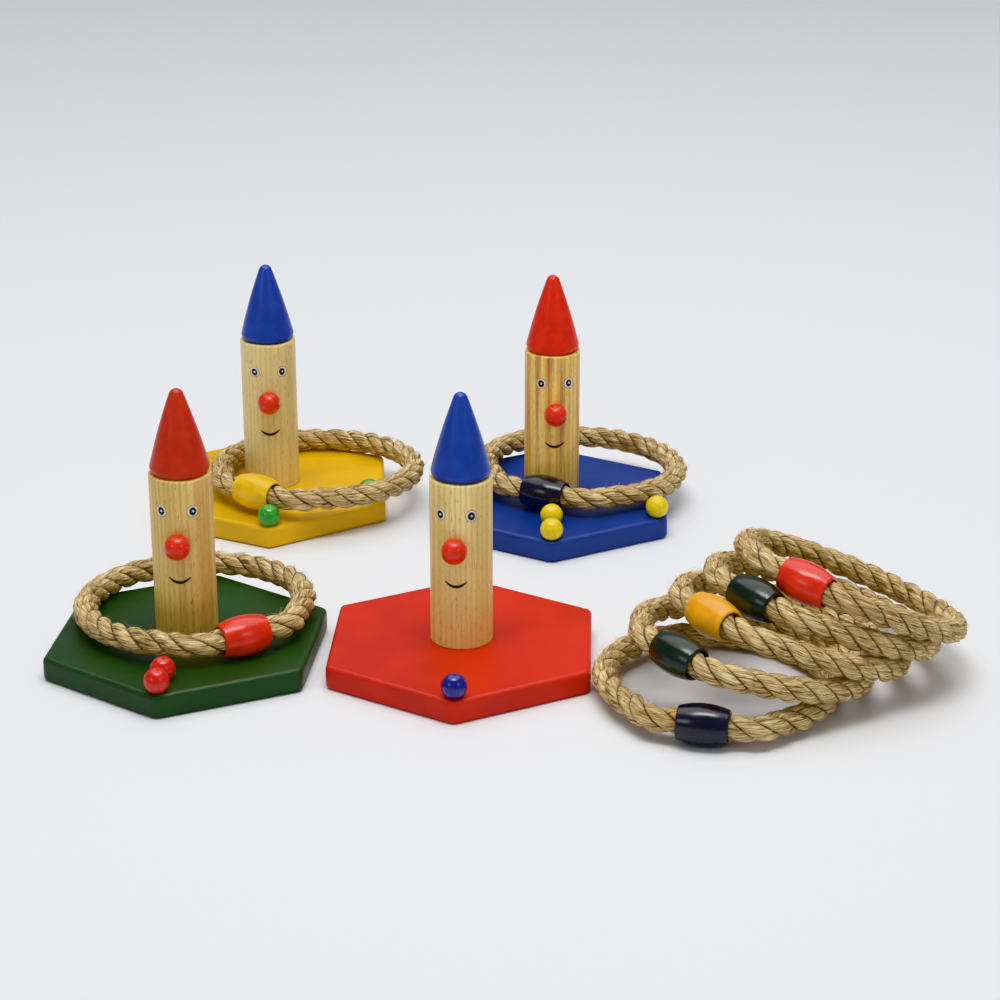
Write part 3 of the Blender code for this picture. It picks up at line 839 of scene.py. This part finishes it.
    def loose_line(self, upward):
        """A fibre that stands off the rope; those that would point at the ground are drawn again."""
        clear = BEAD_LENGTH / 2 + 8 * MM
        while True:
            at = self.random.uniform(clear, self.along[-1] - clear)
            turn = self.random.uniform(0, math.tau)
            run = self.random.choice([-1, 1]) * self.random.uniform(*LOOSE_HAIR_LENGTHS) * MM
            drift = self.random.normal(0, 0.7)
            rise = self.random.uniform(0.3, 1.0) ** 2 * LOOSE_HAIR_RISE
            spots = [self.surface_point(at + run * t, turn + drift * t * t, rise * t ** 1.4 - 0.1 * MM)
                     for t in (0, 0.2, 0.4, 0.6, 0.8, 1.0)]
            if spots[3][1] @ upward > LOWEST_HAIR:
                return [spot for spot, _ in spots]

    def hair(self, vertices, faces, uvs, shades, points, radius):
        """Adds a three-sided tapering tube."""
        first, count = len(vertices), len(points)
        shade = self.random.uniform(0.0, 0.4)
        patch = self.random.uniform(0, 300, 2)
        for i, spot in enumerate(points):
            ahead = points[min(i + 1, count - 1)] - points[max(i - 1, 0)]
            side = np.cross(ahead, [0.2, 0.3, 1.0])
            side /= max(np.linalg.norm(side), 1e-9)
            up = np.cross(side, ahead)
            up /= max(np.linalg.norm(up), 1e-9)
            width = radius * (1.0 - HAIR_TAPER * i / (count - 1))
            for turn in (0, math.tau / 3, 2 * math.tau / 3):
                vertices.append(spot + (side * math.cos(turn) + up * math.sin(turn)) * width)
                shades.append(shade)
        for i in range(count - 1):
            for j in range(3):
                a, b = first + 3 * i + j, first + 3 * i + (j + 1) % 3
                faces.append((a, b, b + 3, a + 3))
                uvs.extend(patch + (0.1 * j, 1.2 * k) for k in (i, i, i + 1, i + 1))
        end = first + 3 * (count - 1)
        faces.append((first + 2, first + 1, first))
        faces.append((end, end + 1, end + 2))
        uvs.extend([patch] * 6)


def build_ring(number, name, paints, material):
    bead_paint = RINGS[name][0]
    place = ring_place(name)
    on_rope = Matrix.Translation((BEAD_DISTANCE, 0, 0)) @ Matrix.Rotation(math.radians(90), 4, "X")
    bead = turned(name + "_barrel", bead_profile(), place @ on_rope, paints[bead_paint], BEAD_STEPS,
                  closed=True, uneven=BEAD_UNEVEN, seed=number)
    finish_piece(bead, name, [name + "_bead"])
    rope = Rope(number)
    piece = rope.build(name + "_sisal", place, material)
    finish_piece(piece, name, [name + "_rope"])


def add_surroundings():
    """A pale floor, soft light from the ceiling, and a little from overhead and both front sides."""
    bpy.ops.mesh.primitive_plane_add(size=FLOOR_SIZE)
    floor = bpy.context.object
    floor.name = "floor"
    shader = Shader("floor", 0.7)
    cloud = shader.noise(0.8, detail=2.0)
    shader.set("Base Color", shader.mix(cloud, *FLOOR_SHADES))
    floor.data.materials.append(shader.material)

    for name, (place, size, power) in LIGHTS.items():
        data = bpy.data.lights.new(name, "AREA")
        data.shape = "RECTANGLE"
        data.size, data.size_y = size
        data.energy = power
        light = bpy.data.objects.new(name, data)
        light.location = place
        to_middle = -Vector(place)
        light.rotation_euler = to_middle.to_track_quat("-Z", "Y").to_euler()
        bpy.context.scene.collection.objects.link(light)

    world = bpy.data.worlds.new("studio")
    world.use_nodes = True
    sky = world.node_tree.nodes["Background"].inputs
    sky["Color"].default_value = SKY_COLOUR
    sky["Strength"].default_value = SKY_STRENGTH
    bpy.context.scene.world = world
    bpy.context.scene.view_settings.view_transform = "Khronos PBR Neutral"


def main():
    add_camera()
    paints = {name: paint(name) for name in PAINTS}
    material = sisal()
    for number, name in enumerate(RINGS, 1):
        build_ring(number, name, paints, material)
    woods = {name: bare_wood(name) for name in WOODS}
    white = plain("white_paint", srgb(240, 236, 224), 0.4, 0.3)
    black = plain("black_paint", srgb(26, 22, 20), 0.35, 0.3)
    steel = plain("zinc_plate", srgb(196, 192, 180), 0.32, metallic=1.0)
    for name in STANDS:
        build_stand(name, paints, woods, white, black, steel)
    add_surroundings()


main()
bpy.context.view_layer.update()
